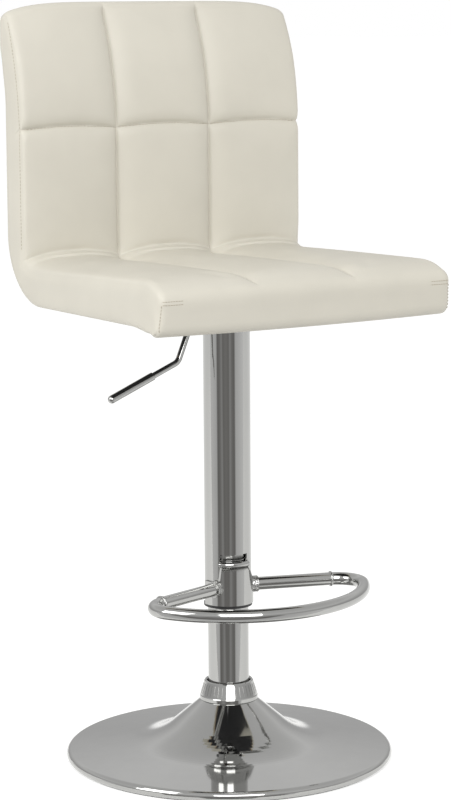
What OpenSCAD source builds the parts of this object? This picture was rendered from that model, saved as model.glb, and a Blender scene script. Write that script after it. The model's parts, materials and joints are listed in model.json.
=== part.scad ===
// Adjustable swivel stool with a quilted L-shaped seat, a gas lift and a ring footrest.
// Millimetres. Origin on the floor at the centre of the base, +Z up, the sitter faces -Y.
// Drawn with the gas lift at its lowest stop.

/* [Base] */
// Diameter of the chromed base
base_d = 400; // [350:5:480]
// Height at which the base's neck ends and the collar begins
neck_h = 72; // [66:1:90]
// Width of the collar and the base's neck round the column
collar_w = 10; // [9:0.5:16]
// Slope of the base's neck, in degrees
neck_slope = 40; // [34:1:46]
// Slope of the base's wide skirt, in degrees
skirt_slope = 6; // [4:0.5:8]
// Radius of the hollow curve between neck and skirt
base_hollow_r = 95; // [60:5:110]
// Radius of the rolled rim
rim_r = 6; // [5:0.5:8]
// Height of the tapered collar
collar_h = 24; // [20:1:30]
// Number of ribs round the collar
collar_ribs = 40; // [24:4:56]

/* [Column] */
// Outside diameter of the fixed column tube
column_d = 50; // [48:1:52]
// Space between the column tube and the cover tube that slides over it
cover_gap = 1.5; // [1:0.25:4]
// Length of the cover tube
cover_len = 343.5; // [286:0.5:420]
// Height of the cover tube's lower end with the seat lowest
cover_bottom = 193.5; // [150:0.5:240]
// Travel of the gas lift
lift = 210; // [150:5:215]
// Outside diameter of the gas cylinder
cylinder_d = 28; // [26:1:30]
// Diameter of the piston rod
rod_d = 10; // [8:1:12]

/* [Footrest] */
// Height of the footrest's centreline above the cover tube's lower end
footrest_rise = 21; // [17:0.5:60]
// Radius of the footrest's front bow, to the centre of its tube
bow_r = 159.4; // [130:1:175]
// Radius of the footrest's two corners
corner_r = 31; // [24:1:36]
// Diameter of the footrest's tube
footrest_d = 16; // [14:1:18]
// Forward sweep of the two straight bars, in degrees
bar_sweep = 17.5; // [12:0.5:22]

/* [Seat] */
// Width of the seat
seat_w = 395; // [320:5:450]
// Distance from the column's axis to the front of the seat
seat_front = 184; // [165:1:200]
// Distance from the column's axis to the face of the backrest
back_face = 137.5; // [126:0.5:150]
// Thickness of the backrest where it is upright
back_thick = 48; // [44:1:52]
// Thickness of the seat
seat_thick = 55; // [48:1:66]
// Height of the backrest above the seat
back_h = 307; // [250:1:380]

/* [Lever] */
// Diameter of the lever's rod
lever_d = 7.5; // [6:0.5:8]
// Wall of the lever's sleeve handle
grip_wall = 1.25; // [1.25:0.25:4]
// Length of the lever's handle
handle_len = 66; // [50:1:75]

/* [Hidden] */
$fn = 96;
e = 0.01;              // overshoot of a cutting tool past the face it cuts
run_gap = 0.05;        // radial clearance of a running fit
part_gap = 0.3;        // clearance between pieces that move past each other
sheet = 1.5;           // thickness of the base's pressed steel
tube_wall = 2;

base_r = base_d / 2;
column_r = column_d / 2;
column_bore = column_r - tube_wall;
neck_r = column_r + collar_w;
cover_bore = column_r + cover_gap;
cover_r = cover_bore + tube_wall;
cylinder_r = cylinder_d / 2;
cylinder_bore = cylinder_r - 1.5;
rod_r = rod_d / 2;

// Heights from the cover tube up to the top of the backrest
plate_t = 4;
hub_rise = 16;         // how far the hub stands out of the cover tube
cover_top = cover_bottom + cover_len;
hub_top = cover_top + hub_rise;
seat_bottom = hub_top + plate_t;
seat_top = seat_bottom + seat_thick;
overall_h = seat_top + back_h;
footrest_h = cover_bottom + footrest_rise;

// Under the base: floor ring, ballast disc, the column's foot and its bolts
ring_h = 3;
ballast_t = 6;
ballast_top = ring_h + ballast_t;
ballast_r = base_r - 24;
ballast_hole_r = 20;
foot_t = 6;
foot_top = ballast_top + foot_t;
foot_r = column_r + 20;
bolt_ring_r = column_r + 10;
foot_bolt_r = 4;
foot_bolt_head_r = 7.5;
foot_bolt_head_h = 5.3;

// Thrust bearing at the foot of the piston rod
race_t = 2.5;
race_r = 15;
ball_r = 2;
ball_count = 12;
ball_ring_r = 10.5;
ball_gap_h = 2;        // space between the two races
race_top = foot_top + 2 * race_t + ball_gap_h;
ball_z = foot_top + race_t + ball_gap_h / 2;

// Gas lift
cylinder_bottom = 50;
cylinder_top = seat_bottom - 27;
guide_len = 20;
piston_t = 12;
piston_bottom = cylinder_bottom + guide_len + lift + 2;
seal_t = 3;
taper_len = 35;
taper_drop = 0.8;      // how much smaller the cylinder's radius is at its top
valve_len = 15;
pin_r = 3;

// Column, bush and cover tube
bush_lip_t = 3.5;
bush_spigot = 20;
column_top = cover_bottom + bush_spigot + lift + 7;
guide_bush_len = 80;
hub_len = 58;

// Footrest: hook slot, saddle plate and the geometry of the bent bow
saddle_t = 2.5;
saddle_r = cover_r + saddle_t;
hook_r = 3.5;
hook_z = footrest_h + 30;
tongue_top = hook_z - hook_r;
slot_h = 16;
tongue_turn = -15.3;   // the hook sits a little towards the lever side
tongue_half = 36.5;
footrest_r = footrest_d / 2;
bar_apex_y = -6;       // where the two bars' centrelines would meet
bow_y = -10.6;         // centre of the front bow
hairline = 0.02;       // angle left at the ends of a bend, so that each stays a true bend
corner_dist = bow_r - corner_r;
corner_angle = asin((cos(bar_sweep) * (bar_apex_y - bow_y) - corner_r) / corner_dist) - bar_sweep;
corner_x = corner_dist * cos(corner_angle);
corner_y = bow_y + corner_dist * sin(corner_angle);
bar_end_x = corner_x + corner_r * sin(bar_sweep);
bar_len = bar_end_x / cos(bar_sweep);

// Plate, hub and lever
plate_w = 160;
plate_corner = 12;
plate_bolt = 60;       // half the distance between bolts
bolt_r = 4;
washer_t = 1.6;
lever_r = lever_d / 2;
handle_r = lever_r + grip_wall;
pivot_x = -cover_r - 5.5;
lever_z = hub_top - 9;
pivot_r = 2.5;
boss_r = 6;
boss_half = 6.7;
ear_in = 7;
ear_t = 3;
lever_bend_1 = [pivot_x - 14, lever_z];
lever_bend_2 = lever_bend_1 - [20.5, 50];
handle_dip = 22.3;     // fall of the handle below level, in degrees
grip_start = 37;       // distance from the lower bend to the handle
grip_depth = 15;       // how far the rod reaches into the handle
lever_bend_r = 12;

// Seat: side view is drawn in Y and Z
side_t = 7.5;          // thickness of the side boxing
apron_t = 8;
apron_drop = 7;        // how far the front apron hangs below the seat's underside
cloth_t = 1;
shell_t = 10;
back_rear = back_face + back_thick;
front_r = 18;          // rounding of the seat's front edge
apron_top = seat_top - front_r;
inner_r = 20;          // hollow curve where seat meets back
outer_r = 83;          // outside curve at the foot of the back
lean_z = overall_h - 159;
top_r = 14;
top_y = back_rear - 2.5;
top_z = overall_h - top_r;
face_lean_r = 368;
rear_lean_r = (pow(top_z - lean_z, 2) + pow(top_y + top_r - back_rear, 2)) / (2 * (top_y + top_r - back_rear));
shell_bottom = seat_bottom + cloth_t;
shell_rear = back_rear - 7.5;
shell_outer_r = 76;
shell_lean = 9;        // how far the plywood leans back at its top
shell_lean_r = (pow(top_z - lean_z, 2) + pow(shell_lean, 2)) / (2 * shell_lean);

chrome = [0.78, 0.79, 0.80];
black = [0.08, 0.08, 0.08];
steel = [0.60, 0.61, 0.62];
ivory = [0.90, 0.88, 0.80];
birch = [0.80, 0.68, 0.48];

// ---- Shared shapes ----

// Points of an arc about centre c, from angle a0 to a1.
function arc(c, r, a0, a1, n) =
  [for (i = [0:n]) c + r * [cos(a0 + (a1 - a0) * i / n), sin(a0 + (a1 - a0) * i / n)]];

// The same points the other way round.
function reversed(points) = [for (i = [len(points) - 1:-1:0]) points[i]];

// Ring between two radii and two heights.
module ring(r_out, r_in, z0, z1) {
  translate([0, 0, z0])
    difference() {
      cylinder(h = z1 - z0, r = r_out);
      translate([0, 0, -e])
        cylinder(h = z1 - z0 + 2 * e, r = r_in);
    }
}

// Plain rod between two heights.
module rod(r, z0, z1) {
  translate([0, 0, z0])
    cylinder(h = z1 - z0, r = r);
}

// Children repeated count times round the Z axis.
module around(count, start = 0) {
  for (i = [0:count - 1])
    rotate([0, 0, start + i * 360 / count])
      children();
}

// Side view in Y and Z, extruded along X between x0 and x1.
module side_extrude(x0, x1) {
  translate([x0, 0, 0])
    rotate([90, 0, 90])
      linear_extrude(height = x1 - x0)
        children();
}

// ---- Base ----

// The base's outer line from the hollow curve to the rolled rim, moved inwards by t.
slope_n = [sin(neck_slope), cos(neck_slope)];
skirt_n = [sin(skirt_slope), cos(skirt_slope)];
rim_c = [base_r - rim_r, rim_r + 1];
neck_d = slope_n * [neck_r, neck_h] + base_hollow_r;
skirt_d = skirt_n * rim_c + rim_r + base_hollow_r;
hollow_c = [
  neck_d * skirt_n.y - skirt_d * slope_n.y,
  slope_n.x * skirt_d - skirt_n.x * neck_d
] / sin(neck_slope - skirt_slope);

function dish_line(t) = concat(
  arc(hollow_c, base_hollow_r + t, 270 - neck_slope, 270 - skirt_slope, 12),
  arc(rim_c, rim_r - t, 90 - skirt_slope, -90, 16)
);

// Radius at which the neck's inner face meets the underside of its flat top.
neck_in = (slope_n * [neck_r, neck_h] - sheet - slope_n.y * (neck_h - sheet)) / slope_n.x;

// Trumpet-shaped chromed shell with a rolled rim.
module base_dish() {
  color(chrome)
    rotate_extrude($fn = 180)
      polygon(concat(
        [[column_r, neck_h], [neck_r, neck_h]],
        dish_line(0),
        reversed(dish_line(sheet)),
        [[neck_in, neck_h - sheet], [column_r, neck_h - sheet]]
      ));
}

// Heavy disc that keeps the stool upright.
module ballast_plate() {
  color(black)
    difference() {
      ring(ballast_r, ballast_hole_r, ring_h, ballast_top);
      around(4, 45)
        translate([bolt_ring_r, 0, 0])
          rod(foot_bolt_r, ring_h - e, ballast_top + e);
    }
}

// Rubber ring the stool stands on.
module floor_ring() {
  color(black)
    ring(base_r - rim_r, ballast_r - 26, 0, ring_h);
}

// Disc at the foot of the column, bolted to the ballast disc.
module column_foot() {
  color(steel)
    difference() {
      ring(foot_r, rod_r + run_gap, ballast_top, foot_top);
      around(4, 45)
        translate([bolt_ring_r, 0, 0])
          rod(foot_bolt_r, ballast_top - e, foot_top + e);
    }
}

module foot_bolts() {
  color(steel)
    around(4, 45)
      translate([bolt_ring_r, 0, 0]) {
        rod(foot_bolt_r, ring_h, foot_top);
        translate([0, 0, foot_top])
          cylinder(h = foot_bolt_head_h, r = foot_bolt_head_r, $fn = 6);
      }
}

// Tapered collar with upright ribs, seated on the neck of the base.
module neck_collar() {
  band_h = collar_h / 4;
  lip_h = 3;
  top_r_out = neck_r - 5;
  rib_foot = neck_h + band_h + 2;
  rib_len = collar_h - band_h - lip_h - 2;
  groove_w = 1.4;
  groove_lean = atan(5.7 / (collar_h - band_h));
  color(chrome)
    difference() {
      rotate_extrude()
        polygon([
          [column_r, neck_h],
          [neck_r, neck_h],
          [neck_r + 0.7, neck_h + 1],
          [neck_r + 0.7, neck_h + band_h - 1],
          [neck_r + 0.2, neck_h + band_h],
          [top_r_out, neck_h + collar_h - 1],
          [top_r_out - 1, neck_h + collar_h],
          [column_r + 2.5, neck_h + collar_h],
          [column_r + 1.5, neck_h + collar_h - 1.5],
          [column_r + 1.5, neck_h + 8],
          [column_r, neck_h + 8]
        ]);
      around(collar_ribs)
        translate([neck_r - 0.6, -groove_w / 2, rib_foot])
          rotate([0, -groove_lean, 0])
            cube([3, groove_w, rib_len]);
    }
}

// ---- Column ----

module column_tube() {
  color(chrome)
    ring(column_r, column_bore, foot_top, column_top);
}

// Plastic sleeve that guides the gas cylinder at the top of the column.
module guide_bush() {
  color(black) {
    ring(column_bore, cylinder_r + run_gap, column_top - guide_bush_len, column_top);
    ring(column_r, cylinder_r + run_gap, column_top, column_top + 3);
  }
}

// ---- Thrust bearing ----

// Groove the balls run in.
module ball_groove() {
  translate([0, 0, ball_z])
    rotate_extrude()
      translate([ball_ring_r, 0])
        circle(r = ball_r + run_gap, $fn = 32);
}

module bearing_lower_race() {
  color(steel)
    difference() {
      ring(race_r, rod_r + 1, foot_top, foot_top + race_t);
      ball_groove();
    }
}

module bearing_upper_race() {
  color(steel)
    difference() {
      ring(race_r, rod_r, race_top - race_t, race_top);
      ball_groove();
    }
}

module bearing_cage() {
  cage_half = ball_gap_h / 2 - 0.5;
  color(steel)
    difference() {
      ring(ball_ring_r + 3, ball_ring_r - 3, ball_z - cage_half, ball_z + cage_half);
      around(ball_count)
        translate([ball_ring_r, 0, 0])
          rod(ball_r, ball_z - cage_half - e, ball_z + cage_half + e);
    }
}

module bearing_balls() {
  color(steel)
    around(ball_count)
      translate([ball_ring_r, 0, ball_z])
        sphere(r = ball_r, $fn = 32);
}

// ---- Piston rod: stands in the column, turns on the bearing ----

clip_z = ballast_top - 2.2;
clip_t = 1.2;
clip_neck_r = rod_r - 1;

module piston_rod() {
  color(chrome)
    difference() {
      rod(rod_r, ring_h + 1, piston_bottom + piston_t);
      ring(rod_r + 1, clip_neck_r, clip_z, clip_z + clip_t);
    }
}

// Clip that keeps the rod from lifting out of the column's foot.
module rod_clip() {
  color(steel)
    ring(rod_r + 4, clip_neck_r, clip_z, clip_z + clip_t);
}

// Rubber stop the gas cylinder comes down on.
module bump_stop() {
  color(black)
    ring(rod_r + 5, rod_r, race_top, cylinder_bottom - part_gap);
}

seal_bottom = piston_bottom + (piston_t - seal_t) / 2;
seal_depth = 2;

module piston() {
  color(steel)
    difference() {
      ring(cylinder_bore - run_gap, rod_r, piston_bottom, piston_bottom + piston_t);
      ring(cylinder_bore + 1, cylinder_bore - seal_depth, seal_bottom, seal_bottom + seal_t);
    }
}

module piston_seal() {
  color(black)
    ring(cylinder_bore - run_gap / 2, cylinder_bore - seal_depth, seal_bottom, seal_bottom + seal_t);
}

// ---- Gas cylinder and cover tube: rise with the seat ----

// Outside of the gas cylinder with its tapered top.
module cylinder_outside(z0) {
  rod(cylinder_r, z0, cylinder_top - taper_len);
  translate([0, 0, cylinder_top - taper_len])
    cylinder(h = taper_len, r1 = cylinder_r, r2 = cylinder_r - taper_drop);
}

valve_r = cylinder_bore - taper_drop;

module pressure_tube() {
  color(black)
    difference() {
      cylinder_outside(cylinder_bottom);
      rod(cylinder_bore, cylinder_bottom - e, cylinder_top - taper_len);
      rod(valve_r, cylinder_top - taper_len - e, cylinder_top + e);
    }
}

// Closes the gas cylinder's lower end and guides the piston rod.
module rod_guide() {
  color(black)
    ring(cylinder_bore, rod_r + run_gap, cylinder_bottom, cylinder_bottom + guide_len);
}

pin_top = lever_z - lever_r - part_gap;
pin_bottom = cylinder_top - valve_len + 4;
pin_room = 5;

module valve_block() {
  color(steel)
    difference() {
      rod(valve_r, cylinder_top - valve_len - pin_room, cylinder_top);
      rod(pin_r + run_gap, pin_bottom - pin_room, cylinder_top + e);
    }
}

// Pin the lever pushes down to open the valve.
module valve_pin() {
  color(chrome)
    rod(pin_r, pin_bottom, pin_top);
}

// Slot the footrest's hook goes through.
module hook_slot() {
  slot_low = hook_z - hook_r - part_gap;
  rotate([0, 0, -90 + tongue_turn - tongue_half])
    translate([0, 0, slot_low])
      rotate_extrude(angle = 2 * tongue_half)
        translate([cover_bore - 2, 0])
          square([tube_wall + 4, slot_h]);
}

module cover_tube() {
  color(chrome)
    difference() {
      ring(cover_r, cover_bore, cover_bottom, cover_top);
      hook_slot();
    }
}

// Black end ring of the cover tube, a running fit on the column.
module cover_tube_bush() {
  color(black) {
    ring(cover_r + 1, column_r + run_gap, cover_bottom - bush_lip_t, cover_bottom);
    ring(cover_bore, column_r + run_gap, cover_bottom, cover_bottom + bush_spigot);
  }
}

// ---- Footrest ----

// Part of a bent round tube: its centreline turns about c from angle a0 by sweep.
module bent_tube(c, r, a0, sweep) {
  translate([c.x, c.y, footrest_h])
    rotate([0, 0, a0])
      rotate_extrude(angle = sweep, $fn = 120)
        translate([r, 0])
          circle(r = footrest_r, $fn = 48);
}

module footrest_bow() {
  turn = 90 - bar_sweep - corner_angle - hairline;
  color(chrome) {
    bent_tube([0, bow_y], bow_r, -180 - corner_angle, 180 + 2 * corner_angle);
    bent_tube([corner_x, corner_y], corner_r, corner_angle + hairline, turn);
    bent_tube([-corner_x, corner_y], corner_r, 180 - corner_angle - hairline - turn, turn);
  }
}

// Frame of one straight bar: its local X axis runs from the column to the bow. side is -1 or 1.
module bar_frame(side) {
  translate([0, bar_apex_y, footrest_h])
    rotate([0, 0, 90 - side * (90 + bar_sweep)])
      children();
}

module bar_solid(side, len) {
  bar_frame(side)
    rotate([0, 90, 0])
      cylinder(h = len, r = footrest_r, $fn = 48);
}

// Straight bar, its root shaped to the saddle.
module footrest_bar(side) {
  color(chrome)
    difference() {
      bar_solid(side, bar_len);
      rod(saddle_r, footrest_h - 2 * footrest_r, footrest_h + 2 * footrest_r);
    }
}

module footrest_bar_left() {
  footrest_bar(1);
}

module footrest_bar_right() {
  footrest_bar(-1);
}

// Saddle plate, seen from the front: a broad band with an offset tongue up to the hook.
module saddle_outline() {
  band_top = footrest_h + footrest_r;
  low_x = 0.84 * cover_r;
  tongue_left = cover_r * sin(tongue_turn - tongue_half);
  tongue_right = cover_r * sin(tongue_turn + tongue_half);
  polygon([
    [-saddle_r, cover_bottom],
    [saddle_r, cover_bottom],
    [saddle_r, band_top],
    [low_x, band_top],
    [tongue_right, tongue_top],
    [tongue_left, tongue_top],
    [-low_x, band_top],
    [-saddle_r, band_top]
  ]);
}

module footrest_saddle() {
  color(chrome) {
    intersection() {
      ring(saddle_r, cover_r, cover_bottom, tongue_top);
      translate([0, 4, 0])
        rotate([90, 0, 0])
          linear_extrude(height = saddle_r + 8)
            saddle_outline();
    }
    rotate([0, 0, -90 + tongue_turn - tongue_half])
      translate([0, 0, hook_z])
        rotate_extrude(angle = 2 * tongue_half)
          translate([cover_r + 1, 0])
            circle(r = hook_r, $fn = 32);
  }
}

// Weld beads: where each bar meets the saddle and where it meets the bow.
module footrest_welds() {
  bead_r = 2;
  bend_room = 0.1;     // keeps the bead off the bow where it starts to bend
  root = saddle_r + footrest_r / 3;
  color(chrome)
    difference() {
      for (side = [-1, 1])
        bar_frame(side)
          rotate([0, 90, 0]) {
            rod(footrest_r + bead_r, cover_r - 4, root);
            translate([0, 0, bar_len])
              rotate_extrude($fn = 48)
                translate([footrest_r, 0])
                  circle(r = bead_r * 0.8, $fn = 24);
          }
      rod(saddle_r, footrest_h - 2 * footrest_r, footrest_h + 2 * footrest_r);
      for (side = [-1, 1]) {
        bar_solid(side, bar_len);
        bar_frame(side)
          rotate([0, 90, 0])
            rod(footrest_r + bend_room, bar_len, bar_len + 2 * bead_r);
      }
    }
}

// ---- Mounting plate and hub ----

// Rounded square plate, centred.
module rounded_square(w, r) {
  square([w, w - 2 * r], center = true);
  square([w - 2 * r, w], center = true);
  for (x = [-1, 1], y = [-1, 1])
    translate([x, y] * (w / 2 - r))
      circle(r = r);
}

// The four bolt places, for children drawn at the origin.
module at_bolts() {
  for (x = [-1, 1], y = [-1, 1])
    translate([x * plate_bolt, y * plate_bolt, 0])
      children();
}

module mount_plate() {
  color(black)
    difference() {
      translate([0, 0, hub_top])
        linear_extrude(height = plate_t)
          rounded_square(plate_w, plate_corner);
      at_bolts()
        rod(bolt_r, hub_top - e, seat_bottom + e);
    }
}

// Tapered socket for the gas cylinder, open on the lever side.
module plate_hub() {
  color(black)
    difference() {
      rod(cover_bore, hub_top - hub_len, hub_top);
      cylinder_outside(hub_top - hub_len - e);
      rod(cylinder_r - taper_drop, cylinder_top - e, hub_top + e);
      translate([-cover_bore - 1, -lever_r - 2, lever_z - lever_r - 4])
        cube([cover_bore + 1, lever_d + 4, lever_d + 6]);
    }
}

tee_nut_z = shell_bottom + shell_t;

// Bolts up through the plate into the plywood.
module plate_bolts() {
  color(steel)
    at_bolts() {
      rod(bolt_r, hub_top - washer_t, tee_nut_z);
      translate([0, 0, hub_top - washer_t - foot_bolt_head_h])
        cylinder(h = foot_bolt_head_h, r = 7, $fn = 6);
    }
}

module plate_washers() {
  color(steel)
    at_bolts()
      ring(8.5, bolt_r, hub_top - washer_t, hub_top);
}

// Tee nuts pressed into the top of the plywood.
module tee_nuts() {
  color(steel)
    at_bolts() {
      ring(5, bolt_r, shell_bottom + 1, tee_nut_z);
      rod(10, tee_nut_z, tee_nut_z + washer_t);
    }
}

// Two ears that carry the lever's pivot pin.
module lever_bracket() {
  ear_w = 14;
  color(black)
    difference() {
      for (side = [-1, 1])
        translate([pivot_x - ear_w / 2, side * (ear_in + ear_t / 2) - ear_t / 2, lever_z - boss_r])
          cube([ear_w, ear_t, hub_top - lever_z + boss_r]);
      pivot_rod(pivot_r, ear_in + ear_t + 1);
    }
}

// Rod along the lever's pivot axis.
module pivot_rod(r, half) {
  translate([pivot_x, half, lever_z])
    rotate([90, 0, 0])
      cylinder(h = 2 * half, r = r, $fn = 48);
}

module lever_pin() {
  color(steel) {
    pivot_rod(pivot_r, ear_in + ear_t);
    for (side = [-1, 1])
      translate([pivot_x, side * (ear_in + ear_t) + (side + 1) * 0.75, lever_z])
        rotate([90, 0, 0])
          cylinder(h = 1.5, r = pivot_r + 1.5, $fn = 48);
  }
}

// ---- Lever ----

// Direction of the line from a to b, in the plane of the lever.
function heading(a, b) = atan2(b.y - a.y, b.x - a.x);

// Straight piece of rod from a to b, drawn in X and Z.
module straight_rod(a, b, r) {
  translate([a.x, 0, a.y])
    rotate([0, 90 - heading(a, b), 0])
      cylinder(h = norm(b - a), r = r, $fn = 48);
}

// Bend between two headings, continuing the straight piece that ends at p.
module rod_bend(p, h0, h1, r) {
  c = p + lever_bend_r * [-sin(h0), cos(h0)];
  translate([c.x, 0, c.y])
    rotate([90, 0, 0])
      rotate([0, 0, h0 - 90 + hairline])
        rotate_extrude(angle = h1 - h0 - 2 * hairline, $fn = 96)
          translate([lever_bend_r, 0])
            circle(r = r, $fn = 48);
}

// How much a bend takes off each straight piece it joins.
function bend_trim(turn) = lever_bend_r * tan(turn / 2);
function toward(a, b, d) = a + d * (b - a) / norm(b - a);

lever_turn_1 = heading(lever_bend_1, lever_bend_2) + 180;
handle_dir = -[cos(handle_dip), sin(handle_dip)];
grip_point = lever_bend_2 + grip_start * handle_dir;
lever_turn_2 = lever_turn_1 - handle_dip;

module lever_rod() {
  tip = [lever_r / 2, lever_z];
  drop = heading(lever_bend_1, lever_bend_2);
  bend_1_in = toward(lever_bend_1, tip, bend_trim(lever_turn_1));
  bend_1_out = toward(lever_bend_1, lever_bend_2, bend_trim(lever_turn_1));
  bend_2_in = toward(lever_bend_2, lever_bend_1, bend_trim(lever_turn_2));
  bend_2_out = toward(lever_bend_2, grip_point, bend_trim(lever_turn_2));
  color(chrome)
    difference() {
      union() {
        straight_rod(tip, bend_1_in, lever_r);
        rod_bend(bend_1_in, -180, drop, lever_r);
        straight_rod(bend_1_out, bend_2_in, lever_r);
        rod_bend(bend_2_out, handle_dip, handle_dip + lever_turn_2, lever_r);
        straight_rod(bend_2_out, grip_point + grip_depth * handle_dir, lever_r);
        pivot_rod(boss_r, boss_half);
      }
      pivot_rod(pivot_r + run_gap, boss_half + 1);
    }
}

// Sleeve handle with a rounded end.
module lever_handle() {
  color(chrome)
    translate([grip_point.x, 0, grip_point.y])
      rotate([0, -90 - handle_dip, 0])
        rotate_extrude($fn = 48)
          polygon(concat(
            [[0, grip_depth], [lever_r, grip_depth], [lever_r, 0]],
            arc([handle_r - 1, 1], 1, -90, 0, 4),
            arc([0, handle_len - handle_r], handle_r, 0, 90, 12)
          ));
}

// ---- Seat: side views ----

// Backward lean of a line that is upright up to lean_z, at height z.
function lean(y, r, z) = y + r - sqrt(r * r - pow(z - lean_z, 2));

// Leaning part of a line as points, from lean_z up to z1.
function lean_line(y, r, z1) =
  [for (i = [0:8]) let (z = lean_z + (z1 - lean_z) * i / 8) [lean(y, r, z), z]];

// Sitting face: from the front seam, over the seat and up the back.
face_line = concat(
  arc([front_r - seat_front, seat_top - front_r], front_r, 180, 90, 8),
  arc([back_face - inner_r, seat_top + inner_r], inner_r, 270, 360, 8),
  lean_line(back_face, face_lean_r, top_z)
);

// Rear and underside: down the back and round to the front.
rear_line = concat(
  reversed(lean_line(back_rear, rear_lean_r, top_z)),
  arc([back_rear - outer_r, seat_bottom + outer_r], outer_r, 0, -90, 12)
);

// Plywood faces that the padding lies on.
shell_face = concat(
  [[apron_t - seat_front, shell_bottom + shell_t]],
  arc([shell_rear - shell_outer_r, shell_bottom + shell_outer_r], shell_outer_r - shell_t, -90, 0, 12),
  lean_line(shell_rear - shell_t, shell_lean_r, top_z)
);
shell_back = concat(
  reversed(lean_line(shell_rear, shell_lean_r, top_z)),
  arc([shell_rear - shell_outer_r, shell_bottom + shell_outer_r], shell_outer_r, 0, -90, 12),
  [[apron_t - seat_front, shell_bottom]]
);

// Rounded top edge of the backrest, above the padding.
module top_cap_2d() {
  face_y = lean(back_face, face_lean_r, top_z);
  polygon(concat(
    [[face_y, top_z]],
    arc([top_y, top_z], top_r, 165, 0, 12)
  ));
}

// Padding in front of the plywood, from the front seam to the top of the back.
module padding_2d() {
  polygon(concat(
    face_line,
    reversed(shell_face),
    [[apron_t - seat_front, apron_top]]
  ));
}

// Whole side view of the upholstery, for the side boxing.
module side_2d() {
  polygon(concat(
    [[-seat_front, seat_bottom - apron_drop]],
    face_line,
    arc([top_y, top_z], top_r, 165, 0, 12),
    rear_line,
    [[apron_t - seat_front, seat_bottom], [apron_t - seat_front, seat_bottom - apron_drop]]
  ));
}

// Everything in front of the upright crease where seat and back padding meet.
module seat_side_2d() {
  split = [back_face - inner_r * 0.3, seat_top + inner_r * 0.3];
  low = [back_face + inner_r, shell_bottom];
  polygon([
    [-seat_front - 1, seat_bottom - 20],
    [-seat_front - 1, seat_top + inner_r],
    [back_face - 2 * inner_r, seat_top + 2 * inner_r],
    split,
    low,
    [back_face, seat_bottom - 20]
  ]);
}

pad_x = seat_w / 2 - side_t;

// ---- Seat: pieces ----

// Bent plywood that carries seat and back.
module seat_shell() {
  color(birch)
    difference() {
      side_extrude(-pad_x, pad_x)
        polygon(concat(shell_face, shell_back));
      at_bolts()
        rod(5, shell_bottom + 1, tee_nut_z + e);
      at_bolts()
        rod(bolt_r, shell_bottom - e, shell_bottom + 1 + e);
    }
}

module seat_pad() {
  color(ivory)
    difference() {
      side_extrude(-pad_x, pad_x)
        intersection() {
          padding_2d();
          seat_side_2d();
        }
      at_bolts()
        rod(10, tee_nut_z - e, tee_nut_z + washer_t);
    }
}

module back_pad() {
  color(ivory)
    side_extrude(-pad_x, pad_x)
      difference() {
        padding_2d();
        seat_side_2d();
      }
}

// Padded rear skin, from under the bend to the top of the back.
module rear_pad() {
  color(ivory)
    side_extrude(-pad_x, pad_x)
      polygon(concat(
        rear_line,
        [[shell_rear - shell_outer_r, seat_bottom]],
        arc([shell_rear - shell_outer_r, shell_bottom + shell_outer_r], shell_outer_r, -90, 0, 12),
        lean_line(shell_rear, shell_lean_r, top_z)
      ));
}

module front_apron() {
  low = seat_bottom - apron_drop;
  color(ivory)
    translate([-pad_x, -seat_front, low])
      cube([2 * pad_x, apron_t, apron_top - low]);
}

module side_boxing_left() {
  color(ivory)
    side_extrude(pad_x, pad_x + side_t)
      side_2d();
}

module side_boxing_right() {
  color(ivory)
    side_extrude(-pad_x - side_t, -pad_x)
      side_2d();
}

module top_boxing() {
  color(ivory)
    side_extrude(-pad_x, pad_x)
      top_cap_2d();
}

// Thin black cloth under the plywood.
module dust_cover() {
  rear_y = shell_rear - shell_outer_r;
  color(black)
    difference() {
      translate([-pad_x, apron_t - seat_front, seat_bottom])
        cube([2 * pad_x, rear_y + seat_front - apron_t, cloth_t]);
      at_bolts()
        rod(bolt_r, seat_bottom - e, shell_bottom + e);
    }
}

base_dish();
ballast_plate();
floor_ring();
column_foot();
foot_bolts();
neck_collar();
column_tube();
guide_bush();
bearing_lower_race();
bearing_cage();
bearing_balls();
bearing_upper_race();
piston_rod();
rod_clip();
bump_stop();
piston();
piston_seal();
pressure_tube();
rod_guide();
valve_block();
cover_tube();
cover_tube_bush();
footrest_bow();
footrest_bar_left();
footrest_bar_right();
footrest_saddle();
footrest_welds();
mount_plate();
plate_hub();
plate_bolts();
plate_washers();
tee_nuts();
lever_bracket();
lever_pin();
seat_shell();
seat_pad();
back_pad();
rear_pad();
front_apron();
side_boxing_left();
side_boxing_right();
top_boxing();
dust_cover();
lever_rod();
lever_handle();
valve_pin();
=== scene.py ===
import json
import math

import bpy
import numpy as np
from mathutils import Matrix, Vector
from mathutils.bvhtree import BVHTree


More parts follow.
